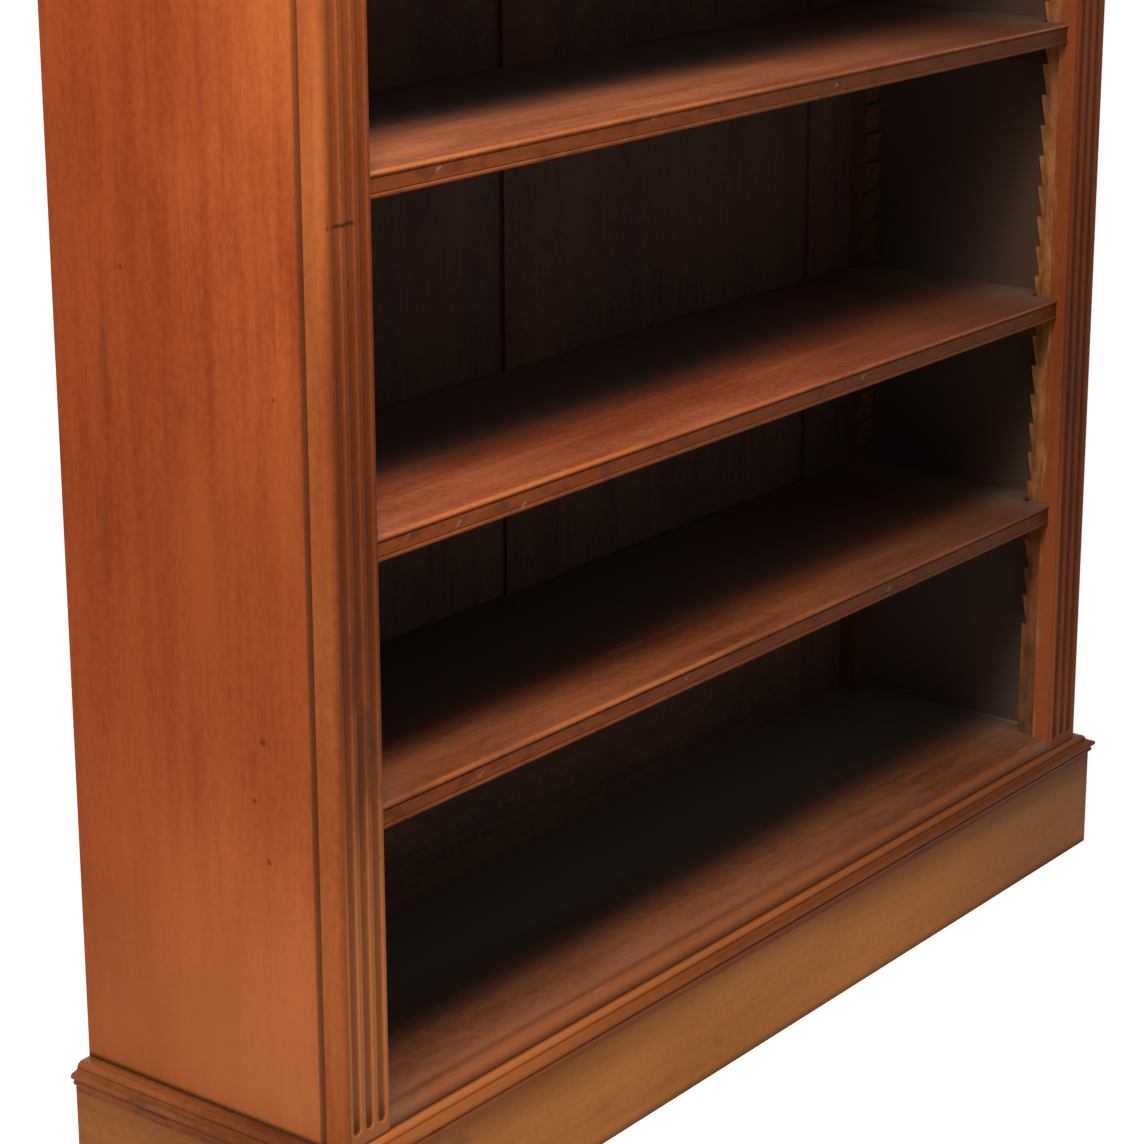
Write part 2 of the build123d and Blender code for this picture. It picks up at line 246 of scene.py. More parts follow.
# Each knock: its depth, height and size
knocks = (
    (-0.061, 0.492, 0.0050),
    (-0.049, 0.437, 0.0035),
    (-0.064, 0.385, 0.0040),
    (0.086, 0.880, 0.0030),
    (-0.085, 0.792, 0.0025),
)
on_left = side_x.rise(0.0, -wall)
for knock_y, knock_z, knock_size in knocks:
    knock = on_left * side_polish.spot((side_y, knock_y), (side_z, knock_z), knock_size)
    side_polish.stain(knock, grime_and_shade, share=0.6, dull=0.3)
    side_polish.dent(knock)

# Each smudge: its depth, height, half width and half height
smudges = (
    (0.020, 0.765, 0.014, 0.022),
    (0.110, 0.790, 0.010, 0.090),
    (0.118, 0.640, 0.008, 0.080),
)
smudge_tone = rgb(0.130, 0.030, 0.008)
for smudge_y, smudge_z, smudge_width, smudge_height in smudges:
    smudge = on_left * side_y.near(smudge_y, smudge_width) * side_z.near(smudge_z, smudge_height)
    side_polish.stain(smudge, smudge_tone, share=0.35)
side_polish.lay_on("left_side", "right_side")


# Stiles
# Pilaster fronts, fluted on the moulding plane with three stopped flutes and a round outer corner.
# They are glued to the front edges of the sides behind a V quirk, where the old polish has gone black
# and shade is painted in.
front = stile_low.y
opening = -stile_high.x
round_corner = 0.0085
flute_depth = 0.003
face_back = front + flute_depth
face_edge = outside - round_corner

stile_dark = rgb(0.270, 0.057, 0.013)
stile_light = rgb(0.465, 0.124, 0.031)
stile_polish = Finish("stile_polish", coat=0.03)
stile_polish.mahogany("Z", 21.0, stile_dark, stile_light, figure=0.8, pores=0.15)
stile_x, stile_y, stile_z = stile_polish.x, stile_polish.y, stile_polish.z
stile_reach = stile_polish.reach

face_depths = (face_back + 0.0022, face_back + 0.0008)
face_widths = (face_edge + 0.0010, face_edge - 0.0015)
face_shade_tone = rgb(0.150, 0.028, 0.009)
face_middle = 0.66
face_middle_reach = 0.42
face_middle_shade_tone = rgb(0.110, 0.022, 0.006)
# Painted shade: the front face is darker than the sides, most of all around the middle of its height
on_face = stile_y.rise(*face_depths) * stile_reach.rise(*face_widths)
stile_polish.stain(on_face, face_shade_tone, share=0.36)
stile_polish.stain(on_face * stile_z.near(face_middle, face_middle_reach), face_middle_shade_tone, share=0.35)

lit_face_foot_heights = (0.60, 0.24)
lit_face_foot_tone = rgb(0.700, 0.245, 0.075)
# Painted light: the left stile's face is lighter toward the foot
lit_face_foot = on_face * stile_z.rise(*lit_face_foot_heights) * stile_x.rise(opening, -opening)
stile_polish.stain(lit_face_foot, lit_face_foot_tone, share=0.62)

flute_grime_and_shade_heights = (1.10, 0.50)
flute_depths = (front + 0.0006, front + 0.0026)
flute_end_heights = (foot + 0.040, foot + 0.010)
# Dark in the flutes and at their stopped ends: dirt and painted shade
in_flute = on_face * stile_y.rise(*flute_depths)
stile_polish.stain(in_flute * stile_z.rise(*flute_grime_and_shade_heights), grime_and_shade, share=0.16, dull=0.2)
stile_polish.stain(in_flute * lit_face_foot, grime_and_shade, share=0.30, dull=0.2)
flute_end = in_flute * stile_z.rise(*flute_end_heights)
stile_polish.stain(flute_end, grime_and_shade, share=0.75, dull=0.2)

smoke_low = 0.46
smoke_high = 0.56
smoke_margin = 0.08
smoke_widths = (0.622, 0.606)
smoke_tone = rgb(0.070, 0.030, 0.012)
smoke = stile_polish.noise([60.0, 60.0, 14.0], 13.0, detail=3.0).rise(0.44, 0.60)
smoke = smoke * stile_z.band(smoke_low, smoke_high, smoke_margin)
smoke = smoke * on_face * stile_reach.rise(*smoke_widths)
stile_polish.stain(smoke, smoke_tone, share=0.50, dull=0.1)

rubbed_tone = rgb(0.620, 0.330, 0.140)
inner_face_widths = (opening + 0.003, opening + 0.001)
rubbed_depths = (stile_back - 0.006, stile_back - 0.001)
inner_face = stile_reach.rise(*inner_face_widths)
rubbed = stile_polish.noise([90.0, 90.0, 16.0], 17.0, detail=3.0).rise(0.50, 0.62)
rubbed = rubbed * inner_face * stile_y.rise(*rubbed_depths)
stile_polish.stain(rubbed, rubbed_tone, share=0.7, dull=0.2)

right_stile_shade_tone = rgb(0.120, 0.024, 0.008)
warm_foot_heights = (0.60, 0.30)
warm_foot_tone = rgb(0.600, 0.170, 0.050)
# Painted shade: the right stile is darker than the left
on_right = stile_x.rise(0.0, opening)
stile_polish.stain(on_right, right_stile_shade_tone, share=0.38)
warm_foot = on_right * inner_face * stile_z.rise(*warm_foot_heights)
stile_polish.stain(warm_foot, warm_foot_tone, share=0.30)

quirk_depths = (stile_back - quirk_width - 0.001, stile_back - skin)
quirk_widths = (outside - 2 * quirk_width, outside - quirk_width)
# Dark line in the V quirk: dirt and painted shade
in_quirk = stile_y.rise(*quirk_depths) * stile_reach.rise(*quirk_widths)
stile_polish.stain(in_quirk, grime_and_shade, share=0.8, dull=0.2)

scratch_height = 0.9385
scratch_reach = 0.0032
scratch_start = -0.628
scratch_end = -0.590
scratch_margin = 0.003
broken = stile_polish.noise([110.0, 110.0, 20.0], 4.0).rise(0.40, 0.50)
scratch = broken * stile_z.near(scratch_height, scratch_reach)
scratch = scratch * stile_x.band(scratch_start, scratch_end, scratch_margin)
stile_polish.stain(scratch, grime_and_shade, share=0.9, dull=0.3)
stile_polish.dent(scratch)

stile_foot_shadow_heights = (foot + 0.004, foot + 0.0008)
# Painted shadow along the foot of the stile, where it meets the moulding
stile_foot_shadow = stile_z.rise(*stile_foot_shadow_heights)
stile_polish.stain(stile_foot_shadow, grime_and_shade, share=0.7, dull=0.2)
speck = on_face * stile_polish.noise([150.0, 150.0, 60.0], 8.0, detail=1.0).rise(0.74, 0.80)
stile_polish.stain(speck, grime_and_shade, share=0.45, dull=0.2)
stile_polish.lay_on("left_stile", "right_stile")


# Plinth boards
# Front and side boards of the plinth, mitred at the corners and faded to a yellower brown.
# Brooms and shoes have scuffed them; the foot is grey with floor dirt. Painted shadow lies under the
# moulding, and painted shade toward the right end.
plinth_low, plinth_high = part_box("front_plinth")
scuff_tone = rgb(0.46, 0.22, 0.08)
blotch_tone = rgb(0.180, 0.060, 0.015)
shade_height = 0.040
shade_tone = rgb(0.160, 0.055, 0.015)
shaded_end_start = 0.30
shaded_end_tone = rgb(0.230, 0.078, 0.022)
floor_dirt_height = 0.010


def plinth_polish(name, grain, seed, dark, light):
    """Faded polish, plain in figure, with a few scuffs, a dirty foot, and painted shadow under the
    moulding and toward the right end.
    """
    polish = Finish(name, coat=0.02)
    polish.mahogany(grain, seed, dark, light, figure=0.8, pores=0.06)
    scuff = polish.fibre(grain, seed + 2.0, across=220.0, along=30.0).rise(0.66, 0.76)
    polish.stain(scuff, scuff_tone, share=0.25, dull=0.2)
    blotch = polish.fibre(grain, seed + 4.0, across=30.0, along=14.0, detail=3.0).rise(0.58, 0.74)
    polish.stain(blotch, blotch_tone, share=0.35)
    # Painted shadow under the moulding, deeper toward the right end
    under_moulding = polish.z.rise(plinth_high.z - shade_height, plinth_high.z)
    under_moulding = under_moulding * (0.35 + 0.4 * polish.x.rise(0.0, plinth_high.x))
    polish.stain(under_moulding, shade_tone)
    # Painted shade: darker toward the right end
    polish.stain(polish.x.rise(shaded_end_start, plinth_high.x), shaded_end_tone, share=0.45)
    floor_dirt = polish.z.rise(plinth_low.z + floor_dirt_height, plinth_low.z)
    polish.stain(floor_dirt, grime_and_shade, share=0.6, dull=0.3)
    return polish


front_plinth_tones = (rgb(0.510, 0.172, 0.040), rgb(0.735, 0.275, 0.077))
side_plinth_tones = (rgb(0.300, 0.096, 0.022), rgb(0.475, 0.173, 0.047))
plinth_polish("front_plinth_polish", "X", 33.0, *front_plinth_tones).lay_on("front_plinth")
plinth_polish("side_plinth_polish", "Y", 37.0, *side_plinth_tones).lay_on("left_plinth", "right_plinth")


# Plinth mouldings
# Three lengths of moulding on top of the plinth, mitred round the foot of the case.
# Ledge, thumb, hollow, nose and bead are worked in one; painted shade darkens the hollows, quirk and
# ledge, and a painted highlight lies on the thumb.
bead_foot = moulding_low.z + 0.0066
bead_head = moulding_low.z + 0.0126
nose_foot = moulding_low.z + 0.0136
hollow_foot = moulding_low.z + 0.0195
hollow_head = moulding_low.z + 0.0238
hollow_shade_head = hollow_head - 0.0008
thumb_highlight_heights = (hollow_head, hollow_head + 0.002)
ledge_heights = (moulding_high.z - 0.0012, moulding_high.z - 0.0002)
ledge_depths = (front - skin, front + skin)
ledge_widths = (outside + 0.0055, outside + 0.0025)
member_margin = 0.001
front_depth = 0.010
bead_tone = rgb(0.260, 0.060, 0.014)
lit_end = -0.50
lit_end_tone = rgb(0.640, 0.200, 0.056)
thumb_highlight_tone = rgb(0.800, 0.250, 0.070)
shaded_length_start = -0.10
shaded_length_tone = rgb(0.130, 0.036, 0.013)
moulding_smudge_tone = rgb(0.070, 0.040, 0.022)


def moulding_polish(name, grain, seed, dark, light):
    """Polish with a painted highlight on the thumb, red on the bead and painted shade in the hollows."""
    polish = Finish(name, coat=0.03)
    polish.mahogany(grain, seed, dark, light, pores=0.1)
    polish.stain(polish.z.band(bead_foot, bead_head, member_margin), bead_tone, share=0.4)
    # Painted shade in the quirk under the nose and in the hollow
    quirk = polish.z.band(bead_head, nose_foot + member_margin, member_margin)
    polish.stain(quirk, grime_and_shade, share=0.75, dull=0.2)
    hollow = polish.z.band(hollow_foot, hollow_shade_head, member_margin)
    polish.stain(hollow, grime_and_shade, share=0.25, dull=0.2)
    # Painted light toward the left end of the front, and a painted highlight on the thumb
    on_front = polish.y.rise(front + front_depth, front)
    polish.stain(on_front * polish.x.rise(0.0, lit_end), lit_end_tone, share=0.45)
    thumb = on_front * polish.z.rise(*thumb_highlight_heights)
    polish.stain(thumb, thumb_highlight_tone, share=0.35)
    # Painted shadow along the back of the ledge
    ledge_shadow = polish.z.rise(*ledge_heights) * polish.y.rise(*ledge_depths)
    ledge_shadow = ledge_shadow * polish.reach.rise(*ledge_widths)
    polish.stain(ledge_shadow, grime_and_shade, share=0.40, dull=0.2)
    # Painted shade: darker toward the right end
    polish.stain(polish.x.rise(shaded_length_start, moulding_high.x), shaded_length_tone, share=0.55)
    smudge = polish.fibre(grain, seed + 6.0, across=45.0, along=16.0).rise(0.62, 0.74)
    smudge = smudge * polish.z.band(moulding_low.z, hollow_foot, 2 * member_margin)
    polish.stain(smudge, moulding_smudge_tone, share=0.45, dull=0.1)
    return polish


front_moulding_tones = (rgb(0.260, 0.060, 0.014), rgb(0.420, 0.110, 0.027))
side_moulding_tones = (rgb(0.150, 0.038, 0.011), rgb(0.330, 0.098, 0.028))
front_moulding = moulding_polish("front_moulding_polish", "X", 41.0, *front_moulding_tones)
front_moulding.lay_on("front_plinth_moulding")
side_moulding = moulding_polish("side_moulding_polish", "Y", 43.0, *side_moulding_tones)
side_moulding.lay_on("left_plinth_moulding", "right_plinth_moulding")


# Inner pieces of the plinth
# Kick rail, back board and glue blocks, sawn from deal and left rough.
# They are glued where they don't show, and have gone grey-brown.
deal_dark = rgb(0.150, 0.085, 0.040)
deal_light = rgb(0.340, 0.215, 0.110)
saw_tone = rgb(0.10, 0.055, 0.028)
rough_deal = Finish("rough_deal")
rough_deal.mahogany("X", 51.0, deal_dark, deal_light)
saw_marks = rough_deal.noise([420.0, 40.0, 6.0], 5.0)
rough_deal.stain(saw_marks.rise(0.45, 0.65), saw_tone, share=0.4)
rough_deal.dent(saw_marks, depth=1.5)
rough_deal.roughness = 0.75 + 0.15 * saw_marks
rough_deal.lay_on("kick_rail", "plinth_back", "glue_blocks")


# Bottom board
# Mahogany board with a round nosing that laps the plinth moulding, housed in the sides.
# Books have rubbed the front; painted light lies along the front and painted shade over the back, and
# dust lies at the ends.
bottom_low, bottom_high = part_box("bottom_board")
nosing_radius = 0.009
nosing_back = bottom_low.y + nosing_radius
shelf_dust = rgb(0.280, 0.205, 0.150)

bottom_dark = rgb(0.180, 0.053, 0.022)
bottom_light = rgb(0.395, 0.132, 0.056)
bottom_polish = Finish("bottom_polish", coat=0.02)
bottom_polish.mahogany("X", 61.0, bottom_dark, bottom_light, pores=0.15)
bottom_x, bottom_y, bottom_z = bottom_polish.x, bottom_polish.y, bottom_polish.z

rear_shade_depths = (bottom_low.y + 0.062, bottom_low.y + 0.150)
bottom_rear_shade_tone = rgb(0.130, 0.094, 0.078)
rear_dust_depths = (-0.03, 0.05)
rear_dust_tone = rgb(0.225, 0.190, 0.150)
# Painted shade over the back of the board, with grey dust at the very back
bottom_polish.stain(bottom_y.rise(*rear_shade_depths), bottom_rear_shade_tone, share=0.92, dull=0.1)
bottom_polish.stain(bottom_y.rise(*rear_dust_depths), rear_dust_tone, share=0.9)

lit_front_depths = (bottom_low.y + 0.044, bottom_low.y + 0.014)
lit_front_lengths = (0.60, -0.60)
lit_front_tone = rgb(0.560, 0.180, 0.074)
# Painted light along the front, brightest toward the left
lit_front = bottom_y.rise(*lit_front_depths) * bottom_x.rise(*lit_front_lengths)
bottom_polish.stain(lit_front, lit_front_tone, share=0.60)

rub_depth = 0.030
rub_reach = 0.050
rub_tone = rgb(0.36, 0.150, 0.075)
rub = bottom_polish.fibre("X", 3.0, across=70.0, along=16.0, detail=3.0).rise(0.54, 0.70)
rub = rub * bottom_y.near(bottom_low.y + rub_depth, rub_reach)
bottom_polish.stain(rub, rub_tone, share=0.30, dull=0.2)

nosing_depths = (nosing_back + 0.002, nosing_back - 0.001)
nosing_shade_tone = rgb(0.240, 0.074, 0.026)
crown_highlight_heights = (bottom_high.z - 0.0060, bottom_high.z - 0.0015)
crown_highlight_tone = rgb(0.580, 0.150, 0.034)
grime_line_place = nosing_back + 0.0070
grime_line_reach = 0.0090
grime_line_lengths = (0.45, -0.15)
on_nosing = bottom_y.rise(*nosing_depths)
grime_line = bottom_y.near(grime_line_place, grime_line_reach) * bottom_x.rise(*grime_line_lengths)
bottom_polish.stain(grime_line, grime_and_shade, share=0.45)
# Painted shade on the nosing and a painted highlight along its crown
bottom_polish.stain(on_nosing, nosing_shade_tone, share=0.55)
crown_highlight = on_nosing * bottom_z.rise(*crown_highlight_heights)
bottom_polish.stain(crown_highlight, crown_highlight_tone, share=0.30)

chip_line_place = nosing_back + 0.0012
chip_line_reach = 0.0016
chip_line_tone = rgb(0.50, 0.290, 0.170)
nosing_foot_shade_heights = (foot + 0.0090, foot + 0.0020)
nosing_foot_shade_tone = rgb(0.060, 0.024, 0.011)
chip_line = bottom_polish.fibre("X", 5.0, across=60.0, along=38.0, detail=3.0).rise(0.56, 0.66)
chip_line = chip_line * bottom_y.near(chip_line_place, chip_line_reach)
bottom_polish.stain(chip_line, chip_line_tone, share=0.70, dull=0.2)
# Painted shade on the foot of the nosing
nosing_foot_shade = on_nosing * bottom_z.rise(*nosing_foot_shade_heights)
bottom_polish.stain(nosing_foot_shade, nosing_foot_shade_tone, share=0.30, dull=0.2)

dusty_end = 0.08
dust_line_width = 0.009
dust_line_depths = (0.05, -0.05)
dust_line_tone = rgb(0.42, 0.340, 0.260)
bottom_dust = bottom_polish.reach.rise(opening - dusty_end, wall)
bottom_dust = bottom_dust * bottom_polish.noise([40.0, 40.0, 40.0], 2.0)
bottom_polish.stain(bottom_dust, shelf_dust, share=0.8, dull=0.3)
dust_line = bottom_polish.reach.rise(wall - dust_line_width, wall - 2 * skin)
dust_line = dust_line * bottom_y.rise(*dust_line_depths)
bottom_polish.stain(dust_line, dust_line_tone, share=0.8, dull=0.3)
bottom_polish.lay_on("bottom_board")


# Back
# Frame of stiles, rails and one muntin, grooved round two thin panels and fixed in the rebates.
# Inside it is painted nearly black as painted shade, and left flat; the rear is bare wood gone brown.
frame_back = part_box("back_muntin")[1].y
panel_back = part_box("back_left_panel")[1].y
# Painted shade: the inside faces are painted nearly black
back_shade_dark = rgb(0.074, 0.046, 0.038)
frame_shade_tone = rgb(0.172, 0.082, 0.054)
panel_shade_tone = rgb(0.140, 0.078, 0.056)
bare_dark = rgb(0.185, 0.092, 0.046)
bare_light = rgb(0.300, 0.162, 0.086)
flatness = 0.20


def back_shade_and_bare(name, grain, seed, light, rear):
    """Dark flat colour, painted shade, that lets a little of the grain through; the rear face is bare
    wood.
    """
    stain = Finish(name)
    stain.mahogany(grain, seed, back_shade_dark, light)
    stain.roughness = flatness + stain.roughness
    bare = stain.y.rise(rear - 3 * skin, rear - skin)
    streak = stain.fibre(grain, seed + 6.0, across=55.0, along=2.4, detail=3.0).rise(0.15, 0.85)
    stain.stain(bare, streak.blend(bare_dark, bare_light), share=0.75, dull=0.15)
    damp = stain.noise([5.0, 5.0, 3.0], seed + 8.0, detail=3.0).rise(0.48, 0.66)
    stain.stain(bare * damp, bare_dark, share=0.35)
    return stain


upright_shade_and_bare = back_shade_and_bare("back_upright_shade", "Z", 71.0, frame_shade_tone, frame_back)
upright_shade_and_bare.lay_on("back_left_stile", "back_right_stile", "back_muntin")
rail_shade_and_bare = back_shade_and_bare("back_rail_shade", "X", 73.0, frame_shade_tone, frame_back)
rail_shade_and_bare.lay_on("back_bottom_rail", "back_top_rail")
panel_shade_and_bare = back_shade_and_bare("back_panel_shade", "Z", 77.0, panel_shade_tone, panel_back)
panel_shade_and_bare.lay_on("back_left_panel", "back_right_panel")


# Racks
# Upright strips with saw-cut notches, two at each end of the case, glued and pinned to the sides.
# Handling and dust have turned them khaki, with painted shade in the roots of the teeth and on the rear
# racks.
rack_low, rack_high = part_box("left_front_rack")
tooth_root = 0.006
plain_strip = 0.010
rack_dark = rgb(0.200, 0.066, 0.020)
rack_light = rgb(0.520, 0.185, 0.055)
rack_finish = Finish("rack_finish")
rack_finish.mahogany("Z", 81.0, rack_dark, rack_light)

tooth_depths = (rack_high.y - 0.002, rack_high.y - tooth_root)
root_depths = (rack_low.y + plain_strip, rack_low.y + plain_strip + 0.004)
# Painted shade in the roots of the teeth
shaded_tooth_roots = rack_finish.y.rise(*tooth_depths) * rack_finish.y.rise(*root_depths)
rack_finish.stain(shaded_tooth_roots, grime_and_shade, share=0.35, dull=0.1)

rack_dust_tone = rgb(0.560, 0.220, 0.070)
rear_rack_shade_depths = (-0.02, 0.05)
rear_rack_shade_tone = rgb(0.070, 0.045, 0.030)
rack_foot_heights = (0.42, 0.20)
rack_foot_tone = rgb(0.120, 0.048, 0.021)
rack_dust = rack_finish.noise([60.0, 60.0, 25.0], 6.0, detail=3.0).rise(0.42, 0.62)
rack_finish.stain(rack_dust, rack_dust_tone, share=0.5, dull=0.2)
# Painted shade: the rear racks are darker
rack_finish.stain(rack_finish.y.rise(*rear_rack_shade_depths), rear_rack_shade_tone, share=0.8)
rack_finish.stain(rack_finish.z.rise(*rack_foot_heights), rack_foot_tone, share=0.6)
rack_finish.lay_on("left_front_rack", "right_front_rack", "left_rear_rack", "right_rear_rack")


# Bearers
# Loose battens with slanted ends that drop into the notches of a front and a rear rack.
# They carry the ends of the shelves and were only stained.
shelf_names = ("lower", "middle", "upper", "top")
bearer_dark = rgb(0.050, 0.022, 0.011)
bearer_light = rgb(0.130, 0.058, 0.028)
bearer_flatness = 0.18
bearer_stain = Finish("bearer_stain")
bearer_stain.mahogany("Y", 87.0, bearer_dark, bearer_light)
bearer_stain.roughness = bearer_flatness + bearer_stain.roughness
bearer_stain.lay_on(*(f"{side}_{name}_bearer" for side in ("left", "right") for name in shelf_names))


# Shelves
# Adjustable boards with a bead along the top and the foot of the front edge, notched round the racks.
# Redder than the case where the light has not reached; the top beads are rubbed pale with a painted
# highlight, and chipped, and painted shade lies over the back, the right end and the undersides.
top_drops = (0.001, 0.0002)
bead_drops = (0.0032, 0.0018)
underside_rises = (0.0006, 0.0001)
edge_depths = (0.006, 0.003)
top_bead_height = 0.0048
foot_bead_height = 0.0040
bead_quirk = 0.0010
quirk_reach = 0.0013
chip_size = 0.0034
chip_slant = 0.9
shade_fade = 0.090
dusty_length = 0.09
shaded_top_lengths = (0.05, 0.58)
shaded_edge_lengths = (-0.50, 0.45)
worn_bead_lengths = (0.60, -0.20)
rub_depths = (0.02, -0.06)
rear_shelf_shade_tone = rgb(0.098, 0.076, 0.066)
shelf_rub_tone = rgb(0.42, 0.190, 0.095)
shaded_top_tone = rgb(0.135, 0.050, 0.028)
edge_tone = rgb(0.290, 0.062, 0.012)
shaded_edge_tone = rgb(0.105, 0.030, 0.009)
edge_smudge_tone = rgb(0.085, 0.026, 0.009)
worn_and_lit_top_bead_tone = rgb(0.720, 0.205, 0.050)
worn_foot_bead_tone = rgb(0.400, 0.120, 0.028)
lit_quirk_tone = rgb(0.480, 0.130, 0.030)
chip_tone = rgb(0.480, 0.290, 0.170)
underside_shade_tone = rgb(0.080, 0.042, 0.028)
shade_start_depth = {"lower": 0.054, "middle": 0.084, "upper": 0.086, "top": 0.086}
# The lower shelf's tones are darker than the others, as painted shade
shelf_tones = {
    "lower": (rgb(0.180, 0.040, 0.014), rgb(0.370, 0.108, 0.042)),
    "middle": (rgb(0.290, 0.058, 0.021), rgb(0.600, 0.158, 0.065)),
    "upper": (rgb(0.305, 0.074, 0.029), rgb(0.620, 0.205, 0.087)),
    "top": (rgb(0.280, 0.066, 0.026), rgb(0.580, 0.190, 0.080)),
}
# Each chip: its place along the shelf and its drop below the top
shelf_chips = {
    "lower": ((-0.430, 0.012), (-0.120, 0.009), (0.240, 0.013)),
    "middle": ((-0.523, 0.008), (-0.456, 0.012), (-0.367, 0.016), (0.180, 0.010)),
    "upper": ((-0.476, 0.009), (-0.457, 0.004), (-0.378, 0.003), (-0.177, 0.005), (0.120, 0.012)),
    "top": ((-0.300, 0.008), (0.050, 0.012), (0.330, 0.010)),
}
for shelf_index, shelf_name in enumerate(shelf_names):
    shelf_node = shelf_name + "_shelf"
    shelf_low, shelf_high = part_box(shelf_node)
    shelf_seed = 91.0 + 4.0 * shelf_index
    polish = Finish(shelf_node + "_polish", coat=0.02)
    polish.mahogany("X", shelf_seed, *shelf_tones[shelf_name], pores=0.15)

    shade_start = shelf_low.y + shade_start_depth[shelf_name]
    # Painted shade over the back of each shelf
    shaded_rear = polish.y.rise(shade_start, shade_start + shade_fade)
    polish.stain(shaded_rear, rear_shelf_shade_tone, share=0.92, dull=0.1)
    on_top = polish.z.rise(*(shelf_high.z - drop for drop in top_drops))
    rub = polish.fibre("X", shelf_seed + 2.0, across=80.0, along=14.0, detail=3.0).rise(0.58, 0.74)
    polish.stain(rub * on_top * polish.y.rise(*rub_depths), shelf_rub_tone, share=0.25, dull=0.2)
    # Painted shade: the top is darker toward the right end
    polish.stain(on_top * polish.x.rise(*shaded_top_lengths), shaded_top_tone, share=0.82)
    dust = polish.reach.rise(opening - dusty_length, wall)
    dust = dust * polish.noise([35.0, 35.0, 35.0], shelf_seed)
    polish.stain(dust * on_top, shelf_dust, share=0.9, dull=0.3)

    at_front = polish.y.rise(*(shelf_low.y + depth for depth in edge_depths))
    top_bead = at_front * polish.z.rise(*(shelf_high.z - drop for drop in bead_drops))
    foot_bead_head = shelf_low.z + foot_bead_height
    foot_bead = at_front * polish.z.rise(foot_bead_head, foot_bead_head - bead_quirk)
    below_bead = at_front - top_bead
    polish.stain(below_bead, edge_tone, share=0.7)
    # Painted shade: the front edge is darker toward the right end
    polish.stain(below_bead * polish.x.rise(*shaded_edge_lengths), shaded_edge_tone, share=0.80)
    edge_smudge = polish.fibre("X", shelf_seed + 3.0, across=70.0, along=34.0, detail=4.0)
    edge_smudge = edge_smudge.rise(0.46, 0.66)
    polish.stain(below_bead * edge_smudge, edge_smudge_tone, share=0.50)
    bead_wear_and_highlight = polish.fibre("X", shelf_seed + 1.0, across=50.0, along=7.0).rise(0.30, 0.62)
    # The top bead is worn pale and carries a painted highlight, brightest toward the left
    worn_and_lit_top_bead = top_bead * bead_wear_and_highlight * polish.x.rise(*worn_bead_lengths)
    polish.stain(worn_and_lit_top_bead, worn_and_lit_top_bead_tone, share=0.65)
    polish.stain(foot_bead * bead_wear_and_highlight, worn_foot_bead_tone, share=0.20)
    upper_quirk = shelf_high.z - top_bead_height - bead_quirk / 2
    lower_quirk = foot_bead_head + bead_quirk / 2
    # Painted light in the quirks, lifting their shade
    for quirk_height in (upper_quirk, lower_quirk):
        polish.stain(at_front * polish.z.near(quirk_height, quirk_reach), lit_quirk_tone, share=0.6)

    for chip_x, chip_drop in shelf_chips[shelf_name]:
        chip_z = shelf_high.z - chip_drop
        slant = polish.x - chip_slant * polish.z
        chip = polish.spot((slant, chip_x - chip_slant * chip_z), (polish.z, chip_z), chip_size)
        flaked = polish.noise([520.0, 520.0, 520.0], chip_x).rise(0.42, 0.54)
        chip = at_front * chip.rise(0.1, 0.5) * flaked
        polish.stain(chip, chip_tone, share=0.75, dull=0.3)
        polish.dent(chip)
    # Painted shade on the underside
    shaded_underside = polish.z.rise(*(shelf_low.z + height for height in underside_rises))
    polish.stain(shaded_underside, underside_shade_tone, share=0.8, dull=0.2)
    polish.lay_on(shelf_node)


# Head of the case
# Sub-top, frieze rail, cornice moulding and moulded top board, glued and pinned together.
# The top board is polished like the sides, and its upper face is dusty and a little bleached.
sub_top_dark = rgb(0.050, 0.020, 0.010)
sub_top_light = rgb(0.130, 0.055, 0.026)
sub_top_stain = Finish("sub_top_stain")
sub_top_stain.mahogany("X", 111.0, sub_top_dark, sub_top_light)
sub_top_stain.lay_on("sub_top")
head_dark = rgb(0.235, 0.044, 0.008)
head_light = rgb(0.450, 0.112, 0.020)


def head_polish(name, grain, seed):
    """Polish of the sides on another grain."""
    polish = Finish(name, coat=0.03)
    polish.mahogany(grain, seed, head_dark, head_light, pores=0.12)
    return polish


cornice_low, cornice_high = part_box("front_cornice")
cornice_quirks = (cornice_low.z + 0.007, cornice_high.z - 0.004)
cornice_quirk_reach = 0.002
cornices = (
    ("front_cornice_polish", "X", 121.0, ("front_cornice",)),
    ("side_cornice_polish", "Y", 123.0, ("left_cornice", "right_cornice")),
)
for cornice_name, cornice_grain, cornice_seed, cornice_nodes in cornices:
    cornice_polish = head_polish(cornice_name, cornice_grain, cornice_seed)
    for quirk_height in cornice_quirks:
        # Painted shade in the quirks of the cornice
        shaded_cornice_quirk = cornice_polish.z.near(quirk_height, cornice_quirk_reach)
        cornice_polish.stain(shaded_cornice_quirk, grime_and_shade, share=0.6, dull=0.2)
    cornice_polish.lay_on(*cornice_nodes)
head_polish("frieze_polish", "X", 127.0).lay_on("top_rail")

top_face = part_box("top_board")[1].z
bleached_heights = (top_face - 0.004, top_face - 0.001)
bleached_tone = rgb(0.50, 0.23, 0.12)
top_polish = head_polish("top_polish", "X", 131.0)
bleached = top_polish.z.rise(*bleached_heights) * top_polish.noise([9.0, 9.0, 9.0], 4.0)
top_polish.stain(bleached, bleached_tone, share=0.45, dull=0.3)
top_polish.lay_on("top_board")


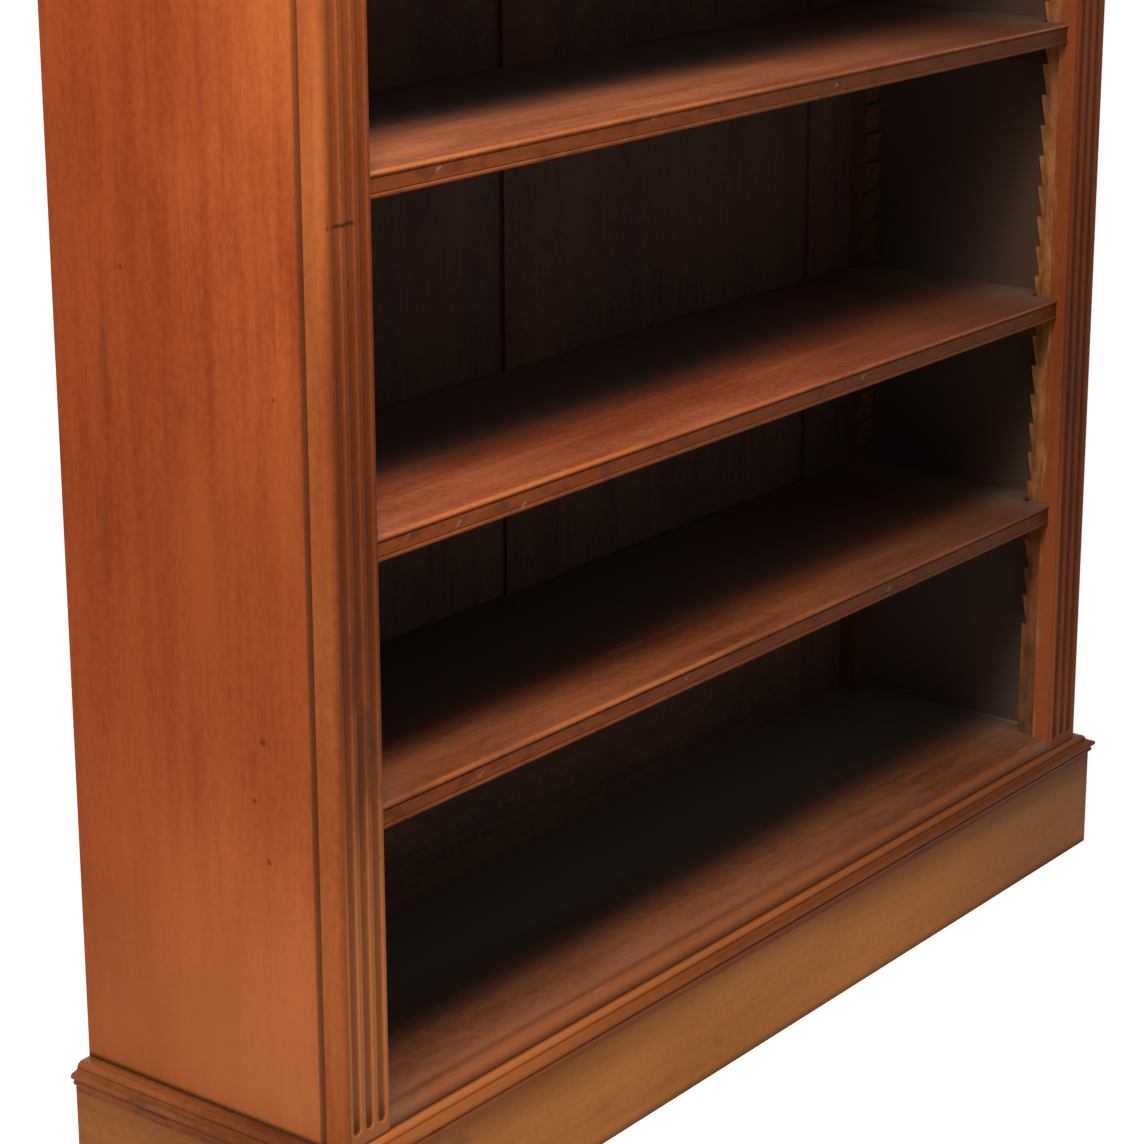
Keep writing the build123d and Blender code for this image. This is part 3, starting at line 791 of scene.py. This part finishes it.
# Floor and light
# Plain pale floor and soft studio light: a lamp on the left, one above the front left, and weak
# ones high up and behind. The floor and the sky are white to the eye, and dimmer where they only
# throw light on the case.
def seen_directly(tree):
    """1 on rays that show a surface or a reflection of it, and 0 on rays that only carry light."""
    rays = tree.nodes.new("ShaderNodeLightPath")
    kinds = ("Is Camera Ray", "Is Glossy Ray", "Is Transmission Ray")
    camera_ray, glossy_ray, transmission_ray = (Signal(tree, rays.outputs[kind]) for kind in kinds)
    return camera_ray.math("MAXIMUM", glossy_ray).math("MAXIMUM", transmission_ray)


floor_size = 60.0
floor_roughness = 0.9
floor_specular = 0.1
floor_glow = 0.72
floor_bounce_tone = rgb(0.75, 0.74, 0.72)
floor_seen_tone = rgb(0.93, 0.93, 0.93)
black = rgb(0.0, 0.0, 0.0)
white = rgb(1.0, 1.0, 1.0)
bpy.ops.object.select_all(action="DESELECT")
bpy.ops.mesh.primitive_plane_add(size=floor_size)
floor = bpy.context.object
floor.name = "floor"
floor_paint = bpy.data.materials.new("floor_paint")
floor_paint.use_nodes = True
floor_shader = floor_paint.node_tree.nodes["Principled BSDF"]
floor_shader.inputs["Roughness"].default_value = floor_roughness
floor_shader.inputs["Specular IOR Level"].default_value = floor_specular
floor_shader.inputs["Emission Strength"].default_value = floor_glow
floor_seen = seen_directly(floor_paint.node_tree)
floor_colour = floor_seen.blend(floor_bounce_tone, floor_seen_tone)
floor_paint.node_tree.links.new(floor_colour.socket, floor_shader.inputs["Base Color"])
floor_emission = floor_seen.blend(black, white)
floor_paint.node_tree.links.new(floor_emission.socket, floor_shader.inputs["Emission Color"])
floor.data.materials.append(floor_paint)


def hang(name, lamp, place, aim):
    """Put a lamp at its place, turned to the point that it lights."""
    holder = bpy.data.objects.new(name, lamp)
    holder.location = place
    holder.rotation_mode = "QUATERNION"
    holder.rotation_quaternion = (Vector(place) - Vector(aim)).to_track_quat("Z", "Y")
    bpy.context.collection.objects.link(holder)


def sun(name, towards, strength, spread):
    """Distant soft lamp; towards points from the case to the lamp, and spread is in degrees."""
    lamp = bpy.data.lights.new(name, "SUN")
    lamp.energy = strength
    lamp.angle = math.radians(spread)
    hang(name, lamp, towards, (0.0, 0.0, 0.0))


def soft_box(name, place, aim, power, size):
    """Square soft lamp near the case."""
    lamp = bpy.data.lights.new(name, "AREA")
    lamp.energy = power
    lamp.size = size
    hang(name, lamp, place, aim)


sun("high_lamp", towards=(-0.12, -0.29, 0.95), strength=0.20, spread=12.0)
sun("rear_lamp", towards=(0.55, 0.70, 0.45), strength=0.8, spread=40.0)
soft_box("left_lamp", place=(-2.75, -0.42, 1.55), aim=(-0.60, -0.05, 0.75), power=28.0, size=0.5)
soft_box("near_lamp", place=(-0.95, -0.58, 2.15), aim=(-0.80, -0.45, 0.0), power=20.0, size=0.4)

ambient = 0.13
sky = bpy.data.worlds.new("sky")
sky.use_nodes = True
bpy.context.scene.world = sky
sky_light = sky.node_tree.nodes["Background"]
sky_light.inputs["Color"].default_value = white
sky_seen = seen_directly(sky.node_tree)
sky_strength = ambient + (1.0 - ambient) * sky_seen
sky.node_tree.links.new(sky_strength.socket, sky_light.inputs["Strength"])


# Camera
# It stands ahead and to the left, a little above the upper shelf, and looks down on the case.
# The lens and the small shift give the frame of the photograph.
photo_width = 1137.0
photo_height = 1144.0
focal_pixels = 3074.6
centre_pixel_x = 604.8
sensor_width = 36.0
lens_drop = -0.10
camera_place = (-2.3801, -1.7577, 1.4136)
yaw = math.radians(52.568)
pitch = math.radians(15.567)
level = math.cos(pitch)
ahead = Vector((math.sin(yaw) * level, math.cos(yaw) * level, -math.sin(pitch)))
lens = bpy.data.cameras.new("camera")
lens.sensor_width = sensor_width
lens.lens = focal_pixels * sensor_width / photo_height
lens.shift_x = (photo_width / 2 - centre_pixel_x) / photo_height
lens.shift_y = lens_drop
camera = bpy.data.objects.new("camera", lens)
camera.location = camera_place
camera.rotation_mode = "QUATERNION"
camera.rotation_quaternion = ahead.to_track_quat("-Z", "Y")
bpy.context.collection.objects.link(camera)
bpy.context.scene.camera = camera
bpy.context.scene.view_settings.view_transform = "Standard"
